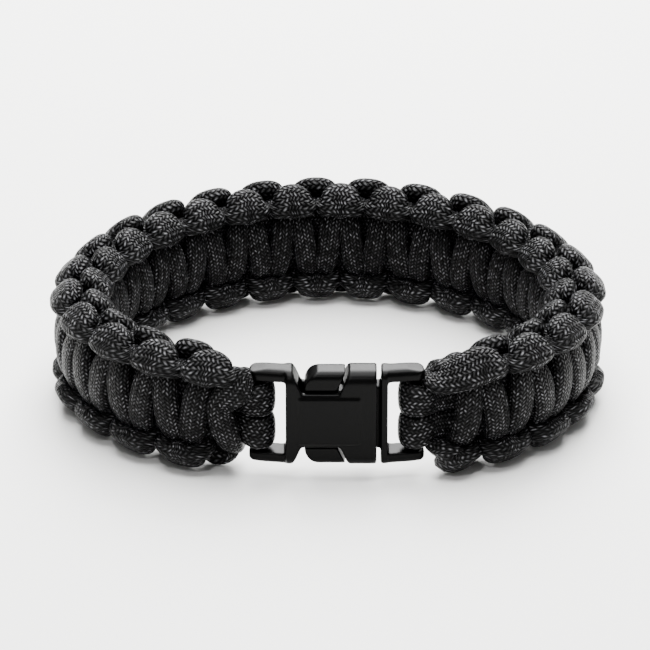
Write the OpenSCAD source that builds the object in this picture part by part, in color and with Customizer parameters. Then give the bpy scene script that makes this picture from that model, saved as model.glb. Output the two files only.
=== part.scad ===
// Braided cord bracelet with a side-release buckle, lying on its side.
// Millimetres, +Z up. The origin is the middle of the wrist hollow, on the surface it lies on.
// The buckle is at the front (-Y). Along the band, distances run clockwise seen from above,
// from the middle of the buckle.

/* [Cord] */
// Diameter of the slack cord; it is pulled flat in the braid
cord_d = 4; // [3.2:0.1:4.6]
// Gap left between the cord and what it wraps or lies beside
cord_gap = 0.15; // [0.1:0.05:0.25]

/* [Band] */
// Length round the inside of the closed bracelet
wrist_len = 223; // [190:0.5:270]
// Core that stays bare of knots between the left crossbar and the first knot
left_lead = 3.8; // [3.6:0.1:6]
// The same between the right crossbar and the last knot
right_lead = 6.5; // [3.6:0.1:9]
// Heading where the left front bend ends, in degrees from the buckle's line
left_turn = 57; // [50:1:95]
// Heading where the right front bend ends
right_turn = 94; // [50:1:95]
// Heading where both side bends end and the back begins
side_turn = 102; // [98:1:115]
// Radius of the side bends as a share of the front bends' radius
side_bend = 0.72; // [0.7:0.02:1]
// Distance of the back's middle to the left of the buckle's middle
back_shift = 1.3; // [0:0.1:4]

/* [Buckle] */
// Length of the socket's closed body
body_len = 15.6; // [14:0.1:18]
// Thickness of the body, from wrist side to outer face
body_t = 6.6; // [6:0.1:8]
// Thickness of the arms that hold the crossbars
arm_t = 4.4; // [3.6:0.1:5]
// Height of each arm
arm_h = 2.1; // [1.9:0.1:2.8]
// Diameter of the crossbars that the cord wraps
bar_d = 2.2; // [2:0.1:2.6]
// Length of each cord window between crossbar and body
window_len = 3.9; // [3.8:0.1:5]
// Free height of the cord windows beyond the two cords
window_slack = 1.4; // [1:0.1:2.4]
// Gap between socket and plug
seam = 0.7; // [0.4:0.1:1]
// Thickness of the plug's base wall
base_t = 1.2; // [1:0.1:1.6]
// Wall of the socket's body
wall = 1.3; // [1.1:0.1:1.6]
// Depth of the thumb notches in the body's edges
notch_d = 3.8; // [3:0.1:4.2]
// Width of each spring prong of the plug
prong_w = 1.3; // [1.2:0.1:1.6]
// Running gap between prong and socket
slide_gap = 0.3; // [0.2:0.05:0.4]
// Angle by which the arms bend back towards the wrist
arm_bend = 8; // [4:1:12]

/* [Hidden] */
$fn = 48;
sides = 8;

// Flattened core strand, and the same spread round a crossbar
core_w = 1.3 * cord_d;
core_t = 0.8 * cord_d;
wrap_w = 1.5 * cord_d;
wrap_t = 0.5 * cord_d;
band_t = 2.4 * cord_d;

// Buckle, x along it and z up from the middle of the band
window_h = 2 * wrap_w + cord_gap + window_slack;
buckle_h = window_h + 2 * arm_h;
half_buckle = (body_len + seam + base_t) / 2;
body_left = -half_buckle;
body_right = body_left + body_len;
plug_left = body_right + seam;
plug_right = half_buckle;
bar_off = window_len + bar_d / 2;
bar_inset = 0.2;
arm_len = window_len + bar_d + bar_inset;

// Plan of the loop. Each half, left then right, is made of a straight half buckle, a straight
// arm, a front bend, a side bend and a back bend; both halves end at the back with one depth
LEFT = 0; RIGHT = 1;
halves = [LEFT, RIGHT];
mid_len = wrist_len + PI * band_t;
front_turns = [left_turn, right_turn];
shifts = [back_shift, -back_shift];
function rad(a) = a * PI / 180;
function sum(v, i = 0) = i == len(v) ? 0 : v[i] + sum(v, i + 1);
arm_x = half_buckle + arm_len * cos(arm_bend);
arm_y = arm_len * sin(arm_bend);
back_arc = rad(180 - side_turn);
back_rise = (1 + cos(side_turn)) / sin(side_turn);
// Run, rise and length of both bends before the back, for a front bend of radius 1
bend_x = [for (t = front_turns) sin(t) - sin(arm_bend) + side_bend * (sin(side_turn) - sin(t))];
bend_y = [for (t = front_turns) cos(arm_bend) - cos(t) + side_bend * (cos(t) - cos(side_turn))];
bend_len = [for (t = front_turns) rad(t - arm_bend) + side_bend * rad(side_turn - t)];
// Front radius is (depth - near) / bend_rise, and a half's length is fixed_len + radius * gain
near = [for (h = halves) arm_y + back_rise * (arm_x - shifts[h])];
bend_rise = [for (h = halves) bend_y[h] + back_rise * bend_x[h]];
fixed_len = [for (h = halves) half_buckle + arm_len + back_arc * (arm_x - shifts[h]) / sin(side_turn)];
gain = [for (h = halves) bend_len[h] + back_arc * bend_x[h] / sin(side_turn)];
depth = (mid_len - sum(fixed_len) + sum([for (h = halves) gain[h] * near[h] / bend_rise[h]]))
        / sum([for (h = halves) gain[h] / bend_rise[h]]);
front_r = [for (h = halves) (depth - near[h]) / bend_rise[h]];
back_r = [for (h = halves) (arm_x - shifts[h] + front_r[h] * bend_x[h]) / sin(side_turn)];

// Pieces of a half: start and end heading, radius (0 where straight) and length
function piece(t0, t1, r) = [t0, t1, r, r * rad(t1 - t0)];
pieces = [for (h = halves) [[0, 0, 0, half_buckle], [arm_bend, arm_bend, 0, arm_len],
    piece(arm_bend, front_turns[h], front_r[h]),
    piece(front_turns[h], side_turn, side_bend * front_r[h]), piece(side_turn, 180, back_r[h])]];
function heading(p, d) = p[0] + (p[2] == 0 ? 0 : (p[1] - p[0]) * d / p[3]);
function run_x(p, d) = p[2] == 0 ? d * cos(p[0]) : p[2] * (sin(heading(p, d)) - sin(p[0]));
function run_y(p, d) = p[2] == 0 ? d * sin(p[0]) : p[2] * (cos(p[0]) - cos(heading(p, d)));
function before(list, i) = [for (k = [0 : 1 : i - 1]) list[k]];
starts = [for (list = pieces) [for (i = [0 : len(list) - 1]) let (done = before(list, i))
    [sum([for (p = done) p[3]]), sum([for (p = done) run_x(p, p[3])]),
     sum([for (p = done) run_y(p, p[3])])]]];
left_len = sum([for (p = pieces[LEFT]) p[3]]);
function piece_at(h, s, i = 0) =
    i == len(pieces[h]) - 1 || s < starts[h][i + 1][0] ? i : piece_at(h, s, i + 1);
// A half of the loop: x away from the buckle's middle, y behind it, and the heading
function half_at(h, s) = let (i = piece_at(h, s), p = pieces[h][i], q = starts[h][i], d = s - q[0])
    [q[1] + run_x(p, d), q[2] + run_y(p, d), heading(p, d)];
// Point of the band space: s along, w across (up), n out of the loop
function place(s, w, n) = let (h = s > left_len ? RIGHT : LEFT, side = h == RIGHT ? 1 : -1,
                               c = half_at(h, h == RIGHT ? mid_len - s : s))
    [side * (c[0] + n * sin(c[2])), c[1] - n * cos(c[2]), w];

// Knots: bar 0 is the first on the left, bar `knots` the last on the right
tip = half_buckle + arm_len;
first_bar = tip + left_lead;
last_bar = mid_len - tip - right_lead;
bar_pitch = 1.18 * cord_d;
knots = floor((last_bar - first_bar) / bar_pitch);
pitch = (last_bar - first_bar) / knots;

// A working strand from the middle of a bar to the middle of the edge loop above it.
// Columns: along (share of pitch from the bar's middle), then in shares of cord_d:
// across, out, half width, half thickness; last the tilt of the flat side in degrees,
// 0 facing out and 90 facing the edge
ALONG = 0; ACROSS = 1; OUT = 2; HALF_W = 3; HALF_T = 4; TILT = 5;
bar_row   = [ 0.00, 1.19,  0.82, 0.50,  0.40,   0];
under_row = [-0.32, 1.76,  0.19, 0.19,  0.34,  45];
side_row  = [-0.14, 2.26, -0.69, 0.55,  0.40, 135];
loop_row  = [ 0.50, 2.34, -0.70, 0.775, 0.41, 130];
rise = [bar_row, under_row, side_row, loop_row];
UNDER = 1;
TOP_ROW = len(rise) - 1;

// Ring of a strand: middle [s, w, n], half sizes, and the flat side's normal in (w, n)
function ring_row(bar, row, back, up, face) =
    let (dir = back ? -1 : 1)
    [[first_bar + pitch * (bar + dir * row[ALONG]), up * row[ACROSS] * cord_d, face * row[OUT] * cord_d],
     row[HALF_W] * cord_d, row[HALF_T] * cord_d,
     [0, up * sin(row[TILT]), face * cos(row[TILT])]];
// Side that the loop after a bar is on: +1 up, -1 down
function loop_side(bar, face) = (bar % 2 == 1 ? 1 : -1) * face;
// Rings from after the loop before a bar to the loop after it
function bar_rings(bar, face) =
    let (up = loop_side(bar, face), first = bar == 0 && face < 0 ? UNDER : TOP_ROW - 1)
    concat(bar == 0 && face > 0 ? start_rings(-up)
               : [for (k = [first : -1 : 0]) ring_row(bar, rise[k], true, -up, face)],
           [for (k = [0 : TOP_ROW]) ring_row(bar, rise[k], false, up, face)]);
// The outer strand comes out between the arm's end and the first knot; the inner strand starts
// tucked under its own first loop. Columns as above, but along is a share of left_lead past the arm
start = [[0.20, 1.62, 0.47, 0.20, 0.17, 40],
         [0.32, 1.53, 0.60, 0.30, 0.26, 35],
         [0.52, 1.26, 0.82, 0.38, 0.32, 15],
         [0.90, 0.90, 0.86, 0.52, 0.38,  0]];
function start_rings(up) = [for (row = start)
    [[tip + left_lead * row[ALONG], up * row[ACROSS] * cord_d, row[OUT] * cord_d],
     row[HALF_W] * cord_d, row[HALF_T] * cord_d, [0, up * sin(row[TILT]), cos(row[TILT])]]];
// A tail runs straight from the last loop's middle to beside the buckle's arm, with a rounded end
tail_clear = 0.8;
tail_round = 0.25 * cord_d;
tail_tip = 0.6;
function tail_ring(loop, s, squeeze) =
    [[s, loop[0][1], loop[0][2]], squeeze * loop[1], squeeze * loop[2], loop[3]];
function tail(loop) = let (end = mid_len - tip - tail_clear)
    [tail_ring(loop, end - tail_round, 1), tail_ring(loop, end, tail_tip)];
function reverse(list) = [for (k = [len(list) - 1 : -1 : 0]) list[k]];

function weave_rings(face) =
    let (middle = [for (bar = [0 : knots]) each bar_rings(bar, face)])
    concat(middle, tail(middle[len(middle) - 1]));

// Rounded corners of a ring, in band space, then placed on the loop
function unit(v) = v / norm(v);
function tangent(rings, i) = let (n = len(rings) - 1)
    i == 0 ? unit(rings[1][0] - rings[0][0])
    : i == n ? unit(rings[n][0] - rings[n - 1][0])
    : unit(unit(rings[i + 1][0] - rings[i][0]) + unit(rings[i][0] - rings[i - 1][0]));
function ring_points(ring, along) =
    let (flat = unit(ring[3] - along * (ring[3] * along)), across = cross(along, flat))
    [for (k = [0 : sides - 1]) let (a = (k + 0.5) * 360 / sides)
        ring[0] + cos(a) * ring[1] * across + sin(a) * ring[2] * flat];
function band_points(rings) = [for (i = [0 : len(rings) - 1]) each ring_points(rings[i], tangent(rings, i))];

function placed(rings) = [for (p = band_points(rings)) place(p[0], p[1], p[2])];

// The loops' lowest point stands on the surface, and the origin is midway across the loop
outer_points = placed(weave_rings(1));
inner_points = placed(weave_rings(-1));
weave_points = concat(outer_points, inner_points);
weave_x = [for (p = weave_points) p[0]];
weave_y = [for (p = weave_points) p[1]];
mid_x = (min(weave_x) + max(weave_x)) / 2;
mid_y = (min(weave_y) + max(weave_y)) / 2;
band_mid = -min([for (p = weave_points) p[2]]);
module seat() {
    translate([-mid_x, -mid_y, band_mid]) children();
}

// One closed skin through rings of `sides` points
module strand(points) {
    last = len(points) - sides;
    skin = [for (i = [0 : sides : last - 1], k = [0 : sides - 1])
        let (a = i + k, b = i + (k + 1) % sides) each
        [[a, b + sides, b], [a, a + sides, b + sides]]];
    first_cap = [for (k = [1 : sides - 2]) [0, k, k + 1]];
    last_cap = [for (k = [1 : sides - 2]) [last, last + k + 1, last + k]];
    seat() polyhedron(points, concat(skin, first_cap, last_cap));
}

// Core strand: hooks round both crossbars and runs straight through the knots
wrap_r = bar_d / 2 + cord_gap + wrap_t / 2;
bar_at = half_buckle + bar_off;
hook_back = 0.7;
// The inner end goes past the crossbar's middle by this share of wrap_r. The way out of the hook
// has columns: distance past the crossbar's middle and out, in shares of wrap_r, width, thickness
hook_exit = [[0, 1, 1.08 * core_w, wrap_t], [0.6, 0.85, core_w, wrap_t], [1.2, 0.2, core_w, wrap_t],
             [2, 0, core_w, core_t]];
function core_ring(s, n, wide, thick, flat, side) =
    [[s, side * (wide + cord_gap) / 2, n], wide / 2, thick / 2, flat];
function hook(side) = concat(
    [core_ring(bar_at + wrap_r * hook_back, -wrap_r, wrap_w, wrap_t, [0, 0, -1], side)],
    [for (a = [-90 : 30 : 60]) core_ring(bar_at - wrap_r * cos(a), wrap_r * sin(a), wrap_w, wrap_t,
                                    [-cos(a), 0, sin(a)], side)],
    [for (e = hook_exit) core_ring(bar_at + wrap_r * e[0], wrap_r * e[1], e[2], e[3], [0, 0, 1], side)]);
function mirrored(rings) = [for (r = reverse(rings))
    [[mid_len - r[0][0], r[0][1], r[0][2]], r[1], r[2], [-r[3][0], r[3][1], r[3][2]]]];
function core_rings(side) = concat(hook(side),
    [for (bar = [0 : knots]) core_ring(first_bar + pitch * bar, 0, core_w, core_t, [0, 0, 1], side)],
    mirrored(hook(side)));

module core_cord_upper() {
    color("#1c1c1e") strand(placed(core_rings(1)));
}

module core_cord_lower() {
    color("#1c1c1e") strand(placed(core_rings(-1)));
}

module outer_weave_cord() {
    color("#202022") strand(outer_points);
}

module inner_weave_cord() {
    color("#242426") strand(inner_points);
}

// Rectangle with round corners, as circles and squares
module round_rect(size, r) {
    x = size[0] / 2 - r;
    y = size[1] / 2 - r;
    square([2 * x, size[1]], center = true);
    square([size[0], 2 * y], center = true);
    for (i = [-1, 1], j = [-1, 1]) translate([i * x, j * y]) circle(r);
}

// Bar along x whose section across it has round corners
module round_bar(x0, x1, thick, high, r) {
    translate([x0, 0, 0]) rotate([90, 0, 90]) linear_extrude(x1 - x0) round_rect([thick, high], r);
}

// Flat outline in x and z, of a thickness
module slab(thick) {
    translate([0, thick / 2, 0]) rotate([90, 0, 0]) linear_extrude(thick) children();
}

// Two arms and the crossbar between them, starting at x = 0 and going to +x. They are rooted
// inside the body, and their ends are rounded and a little lower than their roots
arm_round = 1.2;
arm_taper = 0.5;
arm_root = 0.6;
arm_end = 1.6;
window_round = 0.5;
module arm_plan() {
    x = arm_len - arm_end;
    y = arm_t / 2 - arm_end;
    translate([-arm_root, -arm_t / 2]) square([x + arm_root, arm_t]);
    translate([x, -y]) square([arm_end, 2 * y]);
    for (j = [-1, 1]) translate([x, j * y]) circle(arm_end);
}
module arms() {
    high = buckle_h / 2;
    difference() {
        intersection() {
            round_bar(-arm_root, arm_len, arm_t, buckle_h, arm_round);
            slab(arm_t) polygon([[-arm_root, -high], [arm_len / 2, -high], [arm_len, arm_taper - high],
                [arm_len, high - arm_taper], [arm_len / 2, high], [-arm_root, high]]);
            translate([0, 0, -high]) linear_extrude(buckle_h) arm_plan();
        }
        slab(2 * arm_t) translate([arm_len / 2, 0]) round_rect([arm_len * 2, window_h], window_round);
    }
    translate([bar_off, 0, -(window_h + arm_h) / 2]) cylinder(d = bar_d, h = window_h + arm_h);
}

// Thumb notch in the upper edge of the body: floor, and slanted ends that go on past the edge
notch_start = 2.7;
notch_end = 6.3;
notch_slant = 1.6;
notch_over = 1;
notch_x0 = body_left + notch_start;
notch_x1 = body_right - notch_end;
notch_z = buckle_h / 2 - notch_d;
module notch() {
    slope = notch_slant * (notch_d + notch_over) / notch_d;
    polygon([[notch_x0, notch_z], [notch_x1, notch_z],
             [notch_x1 + slope, notch_z + notch_d + notch_over],
             [notch_x0 - slope, notch_z + notch_d + notch_over]]);
}

// Raised blank panel on the outer face, and the cavity that the prongs go into
body_round = 2.2;
panel_len = 10.5;
panel_h = 8.6;
panel_t = 0.2;
panel_x = (body_left + body_right) / 2 - 0.3;
end_wall = 2;
cavity_end = body_left + end_wall;
cavity_rim = 2.7;
cavity_h = buckle_h - 2 * cavity_rim;
module buckle_socket() {
    color("#0d0d0e") seat() {
        difference() {
            union() {
                round_bar(body_left, body_right, body_t, buckle_h, body_round);
                translate([panel_x, -(body_t + panel_t) / 2, 0])
                    cube([panel_len, panel_t * 2, panel_h], center = true);
            }
            slab(2 * body_t) notch();
            mirror([0, 0, 1]) slab(2 * body_t) notch();
            translate([cavity_end, -body_t / 2 + wall, -cavity_h / 2])
                cube([body_len, body_t - 2 * wall, cavity_h]);
        }
        translate([body_left, 0, 0]) mirror([1, 0, 0]) rotate([0, 0, arm_bend]) arms();
    }
}

// Spring prong with its half-round thumb tab, above the middle line
tab_gap = 0.5;
tab_r = notch_d - slide_gap;
tab_x = notch_x0 + tab_gap + tab_r;
tab_end = notch_x1 - tab_gap;
tab_t = body_t - 1.4;
tab_round = 1.4;
prong_t = body_t - 2 * wall - 2 * slide_gap;
prong_z = notch_z - slide_gap / 3 - prong_w;
module tab_outline() {
    foot = notch_z + slide_gap;
    difference() {
        translate([tab_x, foot]) circle(tab_r);
        translate([tab_x, foot - tab_r]) square(2 * tab_r);
        translate([tab_x - tab_r, foot - tab_r]) square([2 * tab_r, tab_r]);
    }
    polygon([[tab_x, foot], [tab_end, foot], [tab_end + notch_slant, foot + tab_r], [tab_x, foot + tab_r]]);
}
module prong() {
    spring_x = tab_x - tab_r;
    slab(prong_t) translate([spring_x, prong_z]) square([plug_left + base_t / 2 - spring_x, prong_w]);
    slab(prong_t) translate([spring_x, prong_z]) square([tab_end - spring_x, prong_w + 2 * slide_gap]);
    intersection() {
        round_bar(spring_x - tab_gap, body_right, tab_t, buckle_h - slide_gap, tab_round);
        slab(tab_t) tab_outline();
    }
}

// Base wall, and the guide block that goes from it into the socket's mouth
base_extra = 0.8;
base_round = 1.4;
guide_len = 1.2;
guide_h = cavity_h - 2 * slide_gap;
module buckle_plug() {
    color("#0d0d0e") seat() {
        round_bar(plug_left, plug_right, arm_t + base_extra, buckle_h, base_round);
        slab(prong_t) translate([body_right - guide_len, -guide_h / 2])
            square([guide_len + seam + base_t / 2, guide_h]);
        prong();
        mirror([0, 0, 1]) prong();
        translate([plug_right, 0, 0]) rotate([0, 0, arm_bend]) arms();
    }
}

buckle_socket();
buckle_plug();
core_cord_upper();
core_cord_lower();
outer_weave_cord();
inner_weave_cord();
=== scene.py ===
"""Looks of a knotted cord bracelet with a side-release buckle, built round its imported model."""

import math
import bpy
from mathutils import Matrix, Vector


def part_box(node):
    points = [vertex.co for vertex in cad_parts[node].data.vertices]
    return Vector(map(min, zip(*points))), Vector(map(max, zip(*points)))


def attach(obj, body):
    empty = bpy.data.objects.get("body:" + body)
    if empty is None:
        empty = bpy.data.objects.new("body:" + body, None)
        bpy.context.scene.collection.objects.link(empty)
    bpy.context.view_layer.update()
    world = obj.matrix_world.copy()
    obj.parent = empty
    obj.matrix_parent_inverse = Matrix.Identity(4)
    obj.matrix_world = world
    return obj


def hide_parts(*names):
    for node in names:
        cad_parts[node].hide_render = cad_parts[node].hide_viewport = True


bl_info = {
    "name": "Knotted Cord Bracelet",
    "version": (1, 0, 0),
    "blender": (4, 5, 0),
    "location": "3D View > Sidebar > Bracelet",
    "description": "Builds a knotted cord bracelet, its moulded buckle and a plain studio",
    "category": "Add Mesh",
}

from typing import NamedTuple

import bpy
import numpy as np
from bpy.props import FloatProperty, IntProperty, PointerProperty, StringProperty
from mathutils import Matrix, Vector

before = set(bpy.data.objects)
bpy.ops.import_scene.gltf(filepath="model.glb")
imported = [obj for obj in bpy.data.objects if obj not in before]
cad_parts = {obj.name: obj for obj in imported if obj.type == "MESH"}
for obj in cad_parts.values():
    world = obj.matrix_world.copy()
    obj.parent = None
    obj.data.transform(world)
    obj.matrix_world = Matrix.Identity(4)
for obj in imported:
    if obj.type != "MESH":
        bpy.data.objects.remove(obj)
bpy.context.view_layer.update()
MM = 0.001
SOCKET_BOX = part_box("buckle_socket")
PLUG_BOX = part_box("buckle_plug")
LOOP_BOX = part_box("inner_weave_cord")

# Names of the strands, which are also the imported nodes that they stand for
OUTER, INNER = "outer_weave_cord", "inner_weave_cord"
UPPER, LOWER = "core_cord_upper", "core_cord_lower"


def length(name, description, default_mm):
    """A size that a user may change, kept in metres."""
    return FloatProperty(name=name, description=description, default=default_mm * MM,
                         subtype="DISTANCE", unit="LENGTH", precision=5)


def share(name, description, default):
    """A ratio of two sizes."""
    return FloatProperty(name=name, description=description, default=default)


def degrees(name, description, default):
    """An angle, given in degrees and kept in radians."""
    return FloatProperty(name=name, description=description, default=math.radians(default),
                         subtype="ANGLE", unit="ROTATION")


def number(name, description, default):
    """A whole number."""
    return IntProperty(name=name, description=description, default=default)


def power(name, description, default):
    """A light's power in watts."""
    return FloatProperty(name=name, description=description, default=default, unit="POWER")


def hex_colour(name, description, default):
    """A colour as an sRGB hex value."""
    return StringProperty(name=name, description=description, default=default)


class BandSizes(bpy.types.PropertyGroup):
    """Sizes of the knotted band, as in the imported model."""
    wrist_len: length("Wrist length", "Length round the inside of the closed bracelet", 223)
    cord_d: length("Cord", "Diameter of the slack cord", 4)
    cord_gap: length("Cord gap", "Gap between the cord and what it wraps", 0.15)
    left_lead: length("Left lead", "Bare core between the left arm and the first knot", 3.8)
    right_lead: length("Right lead", "Bare core between the right arm and the last knot", 6.5)
    left_turn: degrees("Left turn", "Heading where the left front bend ends", 57)
    right_turn: degrees("Right turn", "Heading where the right front bend ends", 94)
    side_turn: degrees("Side turn", "Heading where the side bends end", 102)
    side_bend: share("Side bend", "Radius of the side bends as a share of the front's", 0.72)
    back_shift: length("Back shift", "How far the back's middle lies left of the buckle's", 1.3)
    arm_bend: degrees("Arm bend", "Angle of the buckle's arms", 8)
    half_buckle: length("Half buckle", "From the buckle's middle to where its arms begin", 8.75)
    bar_off: length("Crossbar", "From where an arm begins to its crossbar's middle", 5)
    bar_d: length("Crossbar diameter", "Diameter of the crossbars", 2.2)
    arm_len: length("Arm", "Length of the arms", 6.3)
    knots: number("Knots", "Half knots after the first", 45)


class BraidSizes(bpy.types.PropertyGroup):
    """The sheath's braid and the fineness of the meshes."""
    carriers: number("Carriers", "Yarns each way round the sheath", 20)
    stitch: length("Stitch", "Distance along the cord from one float to the next", 0.68)
    relief: length("Relief", "Height of a yarn above the gaps between yarns", 0.2)
    sides: number("Sides", "Points round a strand", 24)
    steps: number("Steps", "Rings between two hand-set sections", 3)


class BuckleSizes(bpy.types.PropertyGroup):
    """How the moulding's edges are softened."""
    voxel: length("Voxel", "Grain of the softened moulding", 0.16)
    smooth_steps: number("Smoothing", "Rounds of edge softening", 22)
    grain: length("Grain", "Spacing of the mould's fine spark-eroded grain", 0.25)


class Colours(bpy.types.PropertyGroup):
    """Colours as sRGB hex values."""
    # Painted highlight: this grey stands for light glinting on the crown of a black nylon yarn, not for
    # the yarn's own colour
    yarn: hex_colour("Yarn", "Crown of a black nylon yarn in the light", "#757578")
    # Painted shade: this near black stands for the shade in the gaps between the yarns
    yarn_gap_painted_shade: hex_colour("Yarn gap", "Between the yarns", "#010101")
    acetal: hex_colour("Acetal", "Black moulded acetal", "#030303")
    floor: hex_colour("Floor", "Pale paper floor", "#F4F4F2")


class StudioSizes(bpy.types.PropertyGroup):
    """Camera and light."""
    elevation: degrees("Elevation", "Camera's height above the horizon", 25.66)
    distance: length("Distance", "From the camera to the middle of the loop", 850)
    lens: length("Lens", "Focal length on a sensor 36 mm wide", 264)
    aim_x: length("Aim across", "Point aimed at, from the loop's middle to the right", -0.57)
    aim_up: length("Aim up", "Point aimed at, from the band's middle, up in the picture", -0.8)
    top: power("Top light", "Power of the light straight above", 17)
    back: power("Back light", "Power of the light above and behind", 18)
    fill: power("Front light", "Power of the front light", 2.2)


# Working strand from the middle of a bar to the middle of the edge loop above it. Columns: along
# (share of the knots' pitch), then millimetres: across, out, half width, half thickness; then the
# tilt of the flat side in degrees, 0 facing out and 90 facing the edge
RISE = [
    (-0.07, 2.3, 3.25, 2.20, 1.50, 0),
    (-0.15, 4.5, 2.40, 2.05, 1.45, 25),
    (-0.25, 6.0, 1.10, 1.75, 1.55, 50),
    (-0.28, 6.9, -0.80, 1.45, 1.60, 78),
    (-0.17, 7.4, -2.40, 1.95, 1.65, 110),
    (0.04, 8.20, -2.85, 2.80, 1.75, 128),
    (0.26, 8.50, -2.75, 3.25, 1.80, 134),
    (0.50, 8.60, -2.62, 3.45, 1.80, 135),
]
# Rows of the rise that come before the first bar: the outer strand goes on from START, and the
# inner strand begins tucked under its own first loop
OUTER_FIRST_ROWS = 1
INNER_FIRST_ROWS = 4
# Start of the outer strand beside the arm: along is millimetres past the arm's end
START = [
    (-0.90, 8.00, 2.35, 1.40, 0.60, 30),
    (0.00, 7.60, 2.50, 2.10, 1.05, 30),
    (0.90, 6.60, 2.70, 2.60, 1.30, 25),
    (2.00, 5.00, 3.00, 2.80, 1.45, 15),
]
# Leg of the inner strand from its last upper loop to its last bar: columns as in RISE. No later
# loop covers it, so it shows beside the buckle's arm
FREE_LEG = [
    (0.22, 8.45, -2.75, 3.35, 1.75, 134),
    (-0.15, 7.95, -2.95, 3.20, 1.55, 131),
    (-0.60, 7.20, -2.60, 3.00, 1.30, 126),
    (-0.98, 6.50, -1.60, 2.60, 1.20, 114),
    (-1.12, 6.20, 0.20, 1.90, 1.20, 85),
    (-0.95, 5.90, 1.80, 1.70, 1.30, 55),
    (-0.55, 4.60, 2.80, 2.00, 1.40, 22),
    (-0.25, 2.30, 3.35, 2.20, 1.50, 0),
]
# Last loop of the outer strand, low behind the free leg: these rows follow the rise's first ones
RISE_TO_LOW_LOOP = 5
LOW_LOOP = [
    (0.04, 7.60, -2.60, 2.40, 1.55, 120),
    (0.30, 7.15, -2.40, 2.70, 1.50, 116),
    (0.55, 6.95, -2.20, 2.80, 1.45, 113),
]
# Tails that end beside the arm: along is millimetres short of the arm's end
TAIL = [
    (3.10, 6.95, -1.70, 3.45, 1.80, 118),
    (1.80, 6.10, -1.00, 2.80, 1.50, 106),
    (0.70, 5.60, -0.60, 1.90, 1.00, 95),
    (0.15, 5.50, -0.40, 1.00, 0.50, 92),
]

# Flattened core cord, and the flatter turn round a crossbar, in shares of the slack cord's diameter
CORE_WIDTH = 1.3
CORE_THICK = 0.8
WRAP_WIDTH = 1.5
WRAP_THICK = 0.5
# Core in the knots against the core at the crossbars, so that no light shows past it
KNOT_SPREAD = 1.14
# From behind the crossbar, round it and out to the front, in degrees
HOOK_ANGLES = range(-90, 76, 15)
# How far the hook's hidden end lies past the crossbar, in radii of the hook
HOOK_END = 0.7
# From the front of the crossbar back to the band's mid-line. Columns: along and out in radii of the
# hook, width as a share of the core's, and thickness as a share of the turn's
HOOK_EXIT = [
    (0.1, 1.00, 1.10, 1.0),
    (0.6, 0.85, 1.02, 1.0),
    (1.2, 0.30, 1.00, 1.2),
    (2.0, 0.00, 1.00, CORE_THICK / WRAP_THICK),
]
# Thickness of the band in diameters of the slack cord: its mid-line lies half of it outside the
# wrist length
BAND_THICK = 2.4
# Power of sine and cosine in a strand's section: 1 is an ellipse, and less is squarer
SQUARENESS = 0.76
# From the band's mid-line to the socket's raised panel, in millimetres
PANEL_OUT = 3.6

# Crossings after which a braid over two and under two repeats
BRAID_REPEAT = 4.0
# Painted highlight: light of the dimmest painted glint as a share of the brightest, and how small a
# crown's painted glint is
DIMMEST_PAINTED_GLINT = 0.42
PAINTED_GLINT_POWER = 3.6
# Patches of even gloss on the moulding are this many grains wide
GLOSS_PATCH = 25

# Side of the paper floor, and how far it lies under the cord, so that no two faces share a plane
FLOOR_SIDE = 6.0
FLOOR_DROP = 0.02 * MM
SKY_STRENGTH = 0.32
SENSOR_WIDTH = 36
# The camera sees nothing nearer than this, in metres
NEAR_CLIP = 0.05
# Where the soft lights stand, and the side of each, in metres
TOP_LIGHT = ((0.0, 0.05, 0.7), 0.6)
BACK_LIGHT = ((0.05, 0.5, 0.45), 0.5)
FRONT_LIGHT = ((-0.12, -0.62, 0.8), 0.12)


class HalfBend(NamedTuple):
    """One half of the mid-line, in millimetres and radians. Its bends grow with the radius of the
    front bend, so what depends on them is kept for each millimetre of that radius."""
    turn: float    # heading where the front bend ends
    reach: float   # from the back's middle outwards to the arm's end
    run: float     # outwards through the front and side bends, for each millimetre
    near: float    # depth of the half without what grows
    rise: float    # depth that each millimetre adds
    fixed: float   # length of the half without what grows
    gain: float    # length that each millimetre adds


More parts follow.
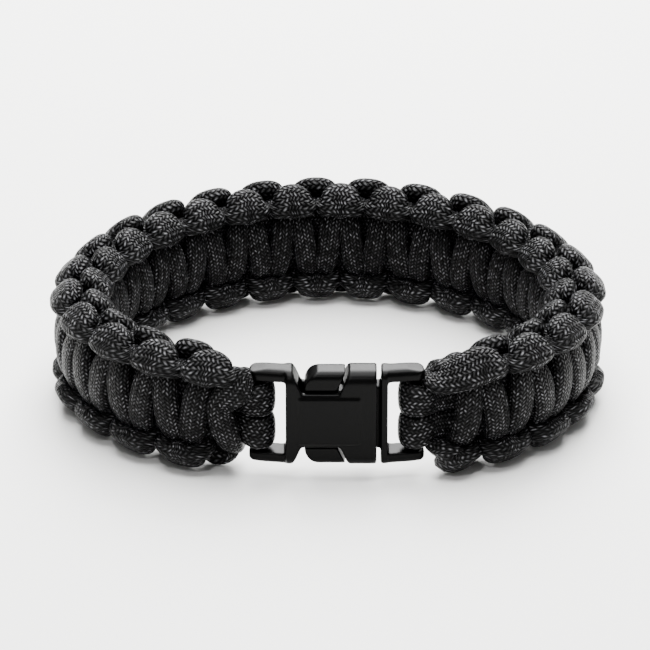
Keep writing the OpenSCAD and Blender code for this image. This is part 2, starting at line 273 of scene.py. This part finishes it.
class Plan:
    """The loop's mid-line: distance along it, clockwise from the buckle's middle, to x, y, heading."""

    def __init__(self, band):
        self.mid_len = (band.wrist_len + math.pi * BAND_THICK * band.cord_d) / MM
        half, arm, bend = band.half_buckle / MM, band.arm_len / MM, band.arm_bend
        side_turn, side_bend, shift = band.side_turn, band.side_bend, band.back_shift / MM
        arm_x, arm_y = half + arm * math.cos(bend), arm * math.sin(bend)
        back_arc = math.pi - side_turn
        back_rise = (1 + math.cos(side_turn)) / math.sin(side_turn)
        bends = []
        for turn, side_shift in ((band.left_turn, shift), (band.right_turn, -shift)):
            run = math.sin(turn) - math.sin(bend) + side_bend * (math.sin(side_turn) - math.sin(turn))
            rise = math.cos(bend) - math.cos(turn) + side_bend * (math.cos(turn) - math.cos(side_turn))
            reach = arm_x - side_shift
            bends.append(HalfBend(
                turn=turn, reach=reach, run=run,
                near=arm_y + back_rise * reach,
                rise=rise + back_rise * run,
                fixed=half + arm + back_arc * reach / math.sin(side_turn),
                gain=turn - bend + side_bend * (side_turn - turn) + back_arc * run / math.sin(side_turn)))
        # Both halves meet at the same depth, and together they have the mid-line's length
        spare = self.mid_len - sum(b.fixed for b in bends)
        depth = ((spare + sum(b.gain * b.near / b.rise for b in bends))
                 / sum(b.gain / b.rise for b in bends))
        # Each half as pieces: heading where it begins, radius (0 for a straight one) and length
        self.halves = []
        for b in bends:
            front = (depth - b.near) / b.rise
            side = side_bend * front
            back = (b.reach + front * b.run) / math.sin(side_turn)
            self.halves.append([(0, 0, half), (bend, 0, arm), (bend, front, front * (b.turn - bend)),
                                (b.turn, side, side * (side_turn - b.turn)),
                                (side_turn, back, back * back_arc)])
        self.left_len = sum(run for _heading, _radius, run in self.halves[0])

    def half_at(self, half, s):
        """Place and heading at a distance along a half; half is 0 for the left, 1 for the right."""
        x = y = heading = 0.0
        for start, radius, run in self.halves[half]:
            step = min(s, run)
            if radius == 0:
                heading = start
                x, y = x + step * math.cos(start), y + step * math.sin(start)
            else:
                heading = start + step / radius
                x += radius * (math.sin(heading) - math.sin(start))
                y += radius * (math.cos(start) - math.cos(heading))
            s -= step
            if s <= 0:
                break
        return x, y, heading

    def place(self, points):
        """Points of the band space (along, across, out) in millimetres, on the loop."""
        placed = np.empty_like(points)
        for k, (s, w, n) in enumerate(points):
            right = s > self.left_len
            x, y, heading = self.half_at(int(right), self.mid_len - s if right else s)
            side = 1 if right else -1
            placed[k] = (side * (x + n * math.sin(heading)), y - n * math.cos(heading), w)
        return placed


def band_knots(band, plan):
    """Distance to the arm's end and to the first bar, and the pitch of the bars, in millimetres."""
    tip = (band.half_buckle + band.arm_len) / MM
    first = tip + band.left_lead / MM
    last = plan.mid_len - tip - band.right_lead / MM
    return tip, first, (last - first) / band.knots


# Columns of a section's row: its middle (along, across, out), the normal of its flat side in the
# same three directions, its half width and its half thickness
ALONG, FLAT_ALONG, HALF_WIDTH, HALF_THICK = 0, 3, 6, 7
MIDDLE, FLAT = slice(0, 3), slice(3, 6)


def section(s, w, n, half_w, half_t, flat):
    """A section of a strand as one row, in the columns above."""
    return np.array([s, w, n, *flat, half_w, half_t], float)


def hand_set(s, row, up, face):
    """The section of a listed row at a place along the band; up is 1 or -1 across the band."""
    _along, across, out, half_w, half_t, tilt = row
    tilt = math.radians(tilt)
    return section(s, up * across, face * out, half_w, half_t,
                   (0, up * math.sin(tilt), face * math.cos(tilt)))


def loop_side(bar, face):
    """Side that the loop after a bar is on: 1 up, -1 down."""
    return face if bar % 2 else -face


def weave_sections(band, plan, face):
    """Listed sections of a working strand; face is 1 for the one whose bars lie outside."""
    tip, first, pitch = band_knots(band, plan)
    sections = [hand_set(tip + row[0], row, 1, face) for row in START] if face > 0 else []
    for bar in range(band.knots + 1):
        up, last = loop_side(bar, face), bar == band.knots
        before, after = RISE[:-1][::-1], RISE
        if bar == 0:
            before = RISE[:OUTER_FIRST_ROWS if face > 0 else INNER_FIRST_ROWS][::-1]
        if last and face < 0:
            before = FREE_LEG
        if last and face > 0:
            after = RISE[:RISE_TO_LOW_LOOP] + LOW_LOOP
        sections += [hand_set(first + pitch * (bar - row[0]), row, -up, face) for row in before]
        sections += [hand_set(first + pitch * (bar + row[0]), row, up, face) for row in after]
    up = loop_side(band.knots, face)
    sections += [hand_set(plan.mid_len - tip - row[0], row, up, face) for row in TAIL]
    return np.array(sections)


def other_end(row, plan):
    """The same section at the band's other end."""
    turned = row.copy()
    turned[ALONG] = plan.mid_len - row[ALONG]
    turned[FLAT_ALONG] = -row[FLAT_ALONG]
    return turned


def core_sections(band, plan, side):
    """A core strand that hooks round both crossbars; side is 1 for the upper one."""
    _tip, first, pitch = band_knots(band, plan)
    radius, gap = band.cord_d / MM / 2, band.cord_gap / MM
    core_w, core_t = CORE_WIDTH * radius, CORE_THICK * radius
    wrap_w, wrap_t = WRAP_WIDTH * radius, WRAP_THICK * radius
    hook_r = band.bar_d / MM / 2 + gap + wrap_t
    bar_at = (band.half_buckle + band.bar_off) / MM

    def strand(s, out, half_w, half_t, flat):
        return section(s, side * (half_w + gap / 2), out, half_w, half_t, flat)

    hook = [strand(bar_at + HOOK_END * hook_r, -hook_r, wrap_w, wrap_t, (0, 0, -1))]
    for angle in HOOK_ANGLES:
        cos, sin = math.cos(math.radians(angle)), math.sin(math.radians(angle))
        hook.append(strand(bar_at - hook_r * cos, hook_r * sin, wrap_w, wrap_t, (-cos, 0, sin)))
    for along, out, width, thickness in HOOK_EXIT:
        hook.append(strand(bar_at + along * hook_r, out * hook_r, width * core_w, thickness * wrap_t,
                           (0, 0, 1)))
    middle = [strand(first + pitch * bar, 0, KNOT_SPREAD * core_w, core_t, (0, 0, 1))
              for bar in range(band.knots + 1)]
    return np.array(hook + middle + [other_end(row, plan) for row in reversed(hook)])


def smooth_sections(sections, steps):
    """Sections between the listed ones, on a centripetal Catmull-Rom spline through all values."""
    rows = np.vstack([2 * sections[0] - sections[1], sections, 2 * sections[-1] - sections[-2]])
    spans = np.sqrt(np.linalg.norm(np.diff(rows[:, MIDDLE], axis=0), axis=1))
    times = np.concatenate([[0], np.cumsum(spans)])
    out = []
    for i in range(1, len(rows) - 2):
        t0, t1, t2, t3 = times[i - 1:i + 3]
        for t in np.linspace(t1, t2, steps, endpoint=False):
            a1 = rows[i - 1] + (rows[i] - rows[i - 1]) * (t - t0) / (t1 - t0)
            a2 = rows[i] + (rows[i + 1] - rows[i]) * (t - t1) / (t2 - t1)
            a3 = rows[i + 1] + (rows[i + 2] - rows[i + 1]) * (t - t2) / (t3 - t2)
            b1 = a1 + (a2 - a1) * (t - t0) / (t2 - t0)
            b2 = a2 + (a3 - a2) * (t - t1) / (t3 - t1)
            out.append(b1 + (b2 - b1) * (t - t1) / (t2 - t1))
    out.append(rows[-2])
    return np.array(out)


def unit_rows(vectors):
    """The rows, each at length 1."""
    return vectors / np.linalg.norm(vectors, axis=1)[:, None]


def squared(values):
    """Sines or cosines, changed so that the ring is squarer than an ellipse."""
    return (np.sign(values) * np.abs(values) ** SQUARENESS)[None, :, None]


def ring_points(sections, sides):
    """Points round each section, in band space: an array of sections, sides and 3."""
    middles, normals = sections[:, MIDDLE], sections[:, FLAT]
    steps = unit_rows(np.diff(middles, axis=0))
    tangents = unit_rows(np.vstack([steps[:1], steps[:-1] + steps[1:], steps[-1:]]))
    flats = unit_rows(normals - tangents * np.sum(normals * tangents, axis=1)[:, None])
    across = np.cross(tangents, flats)
    angles = (np.arange(sides) + 0.5) * 2 * math.pi / sides
    wide = squared(np.cos(angles)) * sections[:, HALF_WIDTH, None, None]
    thick = squared(np.sin(angles)) * sections[:, HALF_THICK, None, None]
    return middles[:, None, :] + wide * across[:, None, :] + thick * flats[:, None, :]


def braid_map(points):
    """How far round (a share) and how far along (millimetres) the points of a strand's rings are."""
    middles = points.mean(axis=1)
    along = np.concatenate([[0], np.cumsum(np.linalg.norm(np.diff(middles, axis=0), axis=1))])
    edges = np.linalg.norm(np.roll(points, -1, axis=1) - points, axis=2)
    around = np.concatenate([np.zeros((len(points), 1)), np.cumsum(edges, axis=1)], axis=1)
    return around / around[:, -1:], along


def strand_mesh(name, sections, plan, braid):
    """A strand's skin on the loop, with a map of how far round and how far along each point is."""
    sides = braid.sides
    rings = ring_points(smooth_sections(sections, braid.steps), sides)
    count = len(rings)
    points = plan.place(rings.reshape(-1, 3)).reshape(count, sides, 3)
    around, along = braid_map(points)
    faces, coords = [], []
    for i in range(count - 1):
        for k in range(sides):
            a, b = i * sides + k, i * sides + (k + 1) % sides
            faces.append((a, b, b + sides, a + sides))
            coords += [(around[i, k], along[i]), (around[i, k + 1], along[i]),
                       (around[i + 1, k + 1], along[i + 1]), (around[i + 1, k], along[i + 1])]
    for ring, order in ((0, reversed(range(sides))), (count - 1, range(sides))):
        faces.append(tuple(ring * sides + k for k in order))
        coords += [(0.0, along[ring])] * sides
    mesh = bpy.data.meshes.new(name)
    mesh.from_pydata(points.reshape(-1, 3) * MM, [], faces)
    layer = mesh.uv_layers.new(name="Braid")
    layer.data.foreach_set("uv", np.array(coords, dtype=np.float32).ravel())
    mesh.validate()
    mesh.polygons.foreach_set("use_smooth", [True] * len(mesh.polygons))
    return mesh


def linear(hex_value):
    """sRGB hex to the linear colour that a shader takes."""
    values = [int(hex_value[i:i + 2], 16) / 255 for i in (1, 3, 5)]
    return tuple(v / 12.92 if v <= 0.04045 else ((v + 0.055) / 1.055) ** 2.4 for v in values) + (1.0,)


def add_node(tree, kind, inputs=None, **settings):
    """A node with its settings; an input takes a value, or another node's output socket."""
    node = tree.nodes.new(kind)
    for key, value in settings.items():
        setattr(node, key, value)
    for key, value in (inputs or {}).items():
        if isinstance(value, bpy.types.NodeSocket):
            tree.links.new(value, node.inputs[key])
        else:
            node.inputs[key].default_value = value
    return node


def maths(tree, operation, *values):
    """The output of a maths node on values or output sockets."""
    return add_node(tree, "ShaderNodeMath", dict(enumerate(values)), operation=operation).outputs[0]


def new_material(name):
    """An empty node material and its tree."""
    material = bpy.data.materials.new(name)
    material.use_nodes = True
    material.node_tree.nodes.clear()
    return material, material.node_tree


def yarns(tree, mine, other, sign):
    """Height and painted highlight of the yarns that lean one way: the light on their crowns is painted
    into the colour. mine counts the yarns across their lay, and other counts those that they cross; sign
    is 1 or -1, so that one lay dives where the other floats."""
    crown = maths(tree, "ABSOLUTE", maths(tree, "SINE", maths(tree, "MULTIPLY", mine, math.pi)))
    yarn = maths(tree, "FLOOR", mine)
    crossing = maths(tree, "ADD", yarn, other)
    swing = maths(tree, "SINE", maths(tree, "MULTIPLY", crossing, 2 * math.pi / BRAID_REPEAT))
    lift = maths(tree, "MAXIMUM", maths(tree, "MULTIPLY", swing, sign), 0.0)
    height = maths(tree, "MULTIPLY", crown, lift)
    float_no = maths(tree, "FLOOR", maths(tree, "DIVIDE", crossing, BRAID_REPEAT))
    seed = add_node(tree, "ShaderNodeCombineXYZ", {0: yarn, 1: float_no, 2: sign})
    noise = add_node(tree, "ShaderNodeTexWhiteNoise", {"Vector": seed.outputs[0]})
    glint = add_node(tree, "ShaderNodeMapRange", {"Value": noise.outputs["Value"],
                                                  "To Min": DIMMEST_PAINTED_GLINT})
    return height, maths(tree, "MULTIPLY", height, glint.outputs[0])


def nylon_braided_sheath(colours, braid):
    """Nylon 66 yarns, solution-dyed black and braided over two, under two: rows of short floats that lean
    left and right by turns. The base colour holds painted light: each float's round crown gets a painted
    grey highlight where it would catch the light, and the gaps between the floats get painted near-black
    shade. A sheath of 32 yarns has 16 each way; the count and the stitch drawn here are matched to the
    flecks in the photograph."""
    material, tree = new_material("nylon_braided_sheath")
    place = add_node(tree, "ShaderNodeUVMap", uv_map="Braid")
    split = add_node(tree, "ShaderNodeSeparateXYZ", {0: place.outputs[0]})
    around = maths(tree, "MULTIPLY", split.outputs[0], float(braid.carriers))
    along = maths(tree, "MULTIPLY", split.outputs[1], MM / braid.stitch)
    right_lay = maths(tree, "ADD", around, along)
    left_lay = maths(tree, "SUBTRACT", around, along)
    right_height, right_light = yarns(tree, right_lay, left_lay, 1.0)
    left_height, left_light = yarns(tree, left_lay, right_lay, -1.0)
    relief = maths(tree, "MAXIMUM", right_height, left_height)
    # Painted highlight: the glints on the floats' crowns, painted into the base colour
    painted_glint = maths(tree, "POWER", maths(tree, "MAXIMUM", right_light, left_light), PAINTED_GLINT_POWER)
    # Base colour is painted light: painted shade in the gaps between yarns, painted highlight on the
    # crowns
    painted_glint_and_shade = add_node(tree, "ShaderNodeMixRGB", {"Fac": painted_glint, "Color1": linear(colours.yarn_gap_painted_shade),
                                               "Color2": linear(colours.yarn)})
    bump = add_node(tree, "ShaderNodeBump", {"Height": relief, "Strength": 1.0,
                                             "Distance": braid.relief})
    shader = add_node(tree, "ShaderNodeBsdfPrincipled",
                      {"Base Color": painted_glint_and_shade.outputs[0], "Normal": bump.outputs[0],
                       "Roughness": 0.38, "IOR": 1.53, "Specular IOR Level": 0.05})
    add_node(tree, "ShaderNodeOutputMaterial", {"Surface": shader.outputs[0]})
    return material


def acetal_moulded_satin(colours, buckle):
    """Black acetal (POM), injection moulded in a finely spark-eroded tool: near black, with a satin
    gloss that turns light grey where it faces the overhead light. The real grain is finer, and is
    drawn as coarse as it needs to show."""
    material, tree = new_material("acetal_moulded_satin")
    place = add_node(tree, "ShaderNodeTexCoord").outputs["Object"]
    grain = add_node(tree, "ShaderNodeTexNoise", {"Vector": place, "Scale": 1 / buckle.grain,
                                                  "Detail": 3.0})
    patches = add_node(tree, "ShaderNodeTexNoise", {"Vector": place, "Detail": 2.0,
                                                    "Scale": 1 / (GLOSS_PATCH * buckle.grain)})
    rough = add_node(tree, "ShaderNodeMapRange", {"Value": patches.outputs[0], "To Min": 0.25,
                                                  "To Max": 0.34})
    bump = add_node(tree, "ShaderNodeBump", {"Height": grain.outputs[0], "Strength": 0.12,
                                             "Distance": 0.1 * MM})
    shader = add_node(tree, "ShaderNodeBsdfPrincipled",
                      {"Base Color": linear(colours.acetal), "Normal": bump.outputs[0],
                       "Roughness": rough.outputs[0], "IOR": 1.48, "Specular IOR Level": 0.06})
    add_node(tree, "ShaderNodeOutputMaterial", {"Surface": shader.outputs[0]})
    return material


def matt_paper(colours):
    """White background paper: flat and without gloss."""
    material, tree = new_material("matt_paper")
    shader = add_node(tree, "ShaderNodeBsdfPrincipled", {"Base Color": linear(colours.floor),
                                                         "Roughness": 0.9})
    add_node(tree, "ShaderNodeOutputMaterial", {"Surface": shader.outputs[0]})
    return material


def add_object(name, data):
    """A new object in the scene."""
    thing = bpy.data.objects.new(name, data)
    bpy.context.scene.collection.objects.link(thing)
    return thing


def add_piece(name, mesh, material, node):
    """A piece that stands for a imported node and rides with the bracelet."""
    mesh.materials.clear()
    mesh.materials.append(material)
    piece = add_object(name, mesh)
    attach(piece, "root")
    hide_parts(node)


def found_or_made(name, make):
    """One material for all pieces of a kind."""
    return bpy.data.materials.get(name) or make()


def plan_to_loop():
    """The plan starts at the buckle's middle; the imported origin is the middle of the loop's base."""
    return Matrix.Translation(((SOCKET_BOX[0][0] + PLUG_BOX[1][0]) / 2,
                               SOCKET_BOX[0][1] + PANEL_OUT * MM,
                               (LOOP_BOX[0][2] + LOOP_BOX[1][2]) / 2))


def add_strands(scene, make_sections, strands):
    """Two strands as pieces; strands gives each one's node and its face or side, 1 or -1."""
    band, braid = scene.bracelet_band, scene.bracelet_braid
    plan = Plan(band)
    sheath = found_or_made("nylon_braided_sheath",
                           lambda: nylon_braided_sheath(scene.bracelet_colours, braid))
    for node, side in strands:
        mesh = strand_mesh(node + "_sheath", make_sections(band, plan, side), plan, braid)
        mesh.transform(plan_to_loop())
        add_piece(node + "_sheath", mesh, sheath, node)


def softened(node, sizes):
    """The node's solid with its edges rounded, as a mesh; it is worked in millimetres."""
    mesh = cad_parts[node].data.copy()
    mesh.transform(Matrix.Scale(1 / MM, 4))
    blank = add_object(node + "_blank", mesh)
    remesh = blank.modifiers.new("voxels", "REMESH")
    remesh.mode = "VOXEL"
    remesh.voxel_size = sizes.voxel / MM
    smooth = blank.modifiers.new("soft_edges", "SMOOTH")
    smooth.iterations = sizes.smooth_steps
    shape = bpy.data.meshes.new_from_object(blank.evaluated_get(bpy.context.evaluated_depsgraph_get()))
    bpy.data.objects.remove(blank)
    shape.transform(Matrix.Scale(MM, 4))
    shape.polygons.foreach_set("use_smooth", [True] * len(shape.polygons))
    return shape


def add_floor(colours):
    """A sheet of paper under the bracelet."""
    half = FLOOR_SIDE / 2
    mesh = bpy.data.meshes.new("paper_floor")
    mesh.from_pydata([(-half, -half, 0), (half, -half, 0), (half, half, 0), (-half, half, 0)],
                     [], [(0, 1, 2, 3)])
    mesh.materials.append(matt_paper(colours))
    floor = add_object("paper_floor", mesh)
    floor.location.z = -FLOOR_DROP


def add_sky(scene):
    """Even white light from all round."""
    scene.world = scene.world or bpy.data.worlds.new("studio")
    scene.world.use_nodes = True
    tree = scene.world.node_tree
    tree.nodes.clear()
    sky = add_node(tree, "ShaderNodeBackground", {"Color": (1, 1, 1, 1), "Strength": SKY_STRENGTH})
    add_node(tree, "ShaderNodeOutputWorld", {"Surface": sky.outputs[0]})


def add_area_light(name, stand, target, watts):
    """A square soft light that points at a place; stand is its own place and its side."""
    place, side = stand
    light = bpy.data.lights.new(name, "AREA")
    light.size = side
    light.energy = watts
    lamp = add_object(name, light)
    lamp.location = place
    lamp.rotation_euler = (target - Vector(place)).to_track_quat("-Z", "Y").to_euler()


def add_camera(scene, studio, middle):
    """The camera at the photograph's height above the horizon."""
    toward = Vector((0, -math.cos(studio.elevation), math.sin(studio.elevation)))
    up = Vector((0, math.sin(studio.elevation), math.cos(studio.elevation)))
    aim = middle + Vector((studio.aim_x, 0, 0)) + up * studio.aim_up
    lens = bpy.data.cameras.new("camera")
    lens.lens = studio.lens / MM
    lens.sensor_width = SENSOR_WIDTH
    lens.clip_start = NEAR_CLIP
    camera = add_object("camera", lens)
    camera.location = aim + toward * studio.distance
    camera.rotation_euler = (-toward).to_track_quat("-Z", "Y").to_euler()
    scene.camera = camera


class BRACELET_OT_weave(bpy.types.Operator):
    """Adds the two working strands that are knotted round the core"""
    bl_idname = "bracelet.weave"
    bl_label = "Add the weave"

    def execute(self, context):
        add_strands(context.scene, weave_sections, [(OUTER, 1), (INNER, -1)])
        return {"FINISHED"}


class BRACELET_OT_core(bpy.types.Operator):
    """Adds the two core strands that turn round the buckle's crossbars"""
    bl_idname = "bracelet.core"
    bl_label = "Add the core"

    def execute(self, context):
        add_strands(context.scene, core_sections, [(UPPER, 1), (LOWER, -1)])
        return {"FINISHED"}


class BRACELET_OT_buckle(bpy.types.Operator):
    """Adds both halves of the buckle, with the soft edges of a moulding"""
    bl_idname = "bracelet.buckle"
    bl_label = "Add the buckle"

    def execute(self, context):
        scene = context.scene
        sizes = scene.bracelet_buckle
        acetal = found_or_made("acetal_moulded_satin",
                               lambda: acetal_moulded_satin(scene.bracelet_colours, sizes))
        for node in ("buckle_socket", "buckle_plug"):
            add_piece(node + "_moulding", softened(node, sizes), acetal, node)
        return {"FINISHED"}


class BRACELET_OT_studio(bpy.types.Operator):
    """Adds the paper floor, the lights and the camera"""
    bl_idname = "bracelet.studio"
    bl_label = "Add the studio"

    def execute(self, context):
        scene = context.scene
        studio = scene.bracelet_studio
        middle = Vector((0, 0, (LOOP_BOX[0][2] + LOOP_BOX[1][2]) / 2))
        add_floor(scene.bracelet_colours)
        add_sky(scene)
        add_area_light("top", TOP_LIGHT, middle, studio.top)
        add_area_light("back", BACK_LIGHT, middle, studio.back)
        add_area_light("front", FRONT_LIGHT, middle, studio.fill)
        add_camera(scene, studio, middle)
        return {"FINISHED"}


class BRACELET_PT_panel(bpy.types.Panel):
    """Lists what can be added"""
    bl_idname = "BRACELET_PT_panel"
    bl_label = "Knotted cord bracelet"
    bl_space_type = "VIEW_3D"
    bl_region_type = "UI"
    bl_category = "Bracelet"

    def draw(self, context):
        for operator in OPERATORS:
            self.layout.operator(operator.bl_idname)
        for group in GROUPS:
            box = self.layout.box()
            settings = getattr(context.scene, group)
            for name in settings.__annotations__:
                box.prop(settings, name)


GROUPS = {"bracelet_band": BandSizes, "bracelet_braid": BraidSizes, "bracelet_buckle": BuckleSizes,
          "bracelet_colours": Colours, "bracelet_studio": StudioSizes}
OPERATORS = (BRACELET_OT_weave, BRACELET_OT_core, BRACELET_OT_buckle, BRACELET_OT_studio)


def register():
    for group in GROUPS.values():
        bpy.utils.register_class(group)
    for name, group in GROUPS.items():
        setattr(bpy.types.Scene, name, PointerProperty(type=group))
    for operator in OPERATORS:
        bpy.utils.register_class(operator)
    bpy.utils.register_class(BRACELET_PT_panel)


def unregister():
    bpy.utils.unregister_class(BRACELET_PT_panel)
    for operator in reversed(OPERATORS):
        bpy.utils.unregister_class(operator)
    for name in GROUPS:
        delattr(bpy.types.Scene, name)
    for group in reversed(GROUPS.values()):
        bpy.utils.unregister_class(group)


def main():
    register()
    bpy.ops.bracelet.weave()
    bpy.ops.bracelet.core()
    bpy.ops.bracelet.buckle()
    bpy.ops.bracelet.studio()


if __name__ == "__main__":
    main()
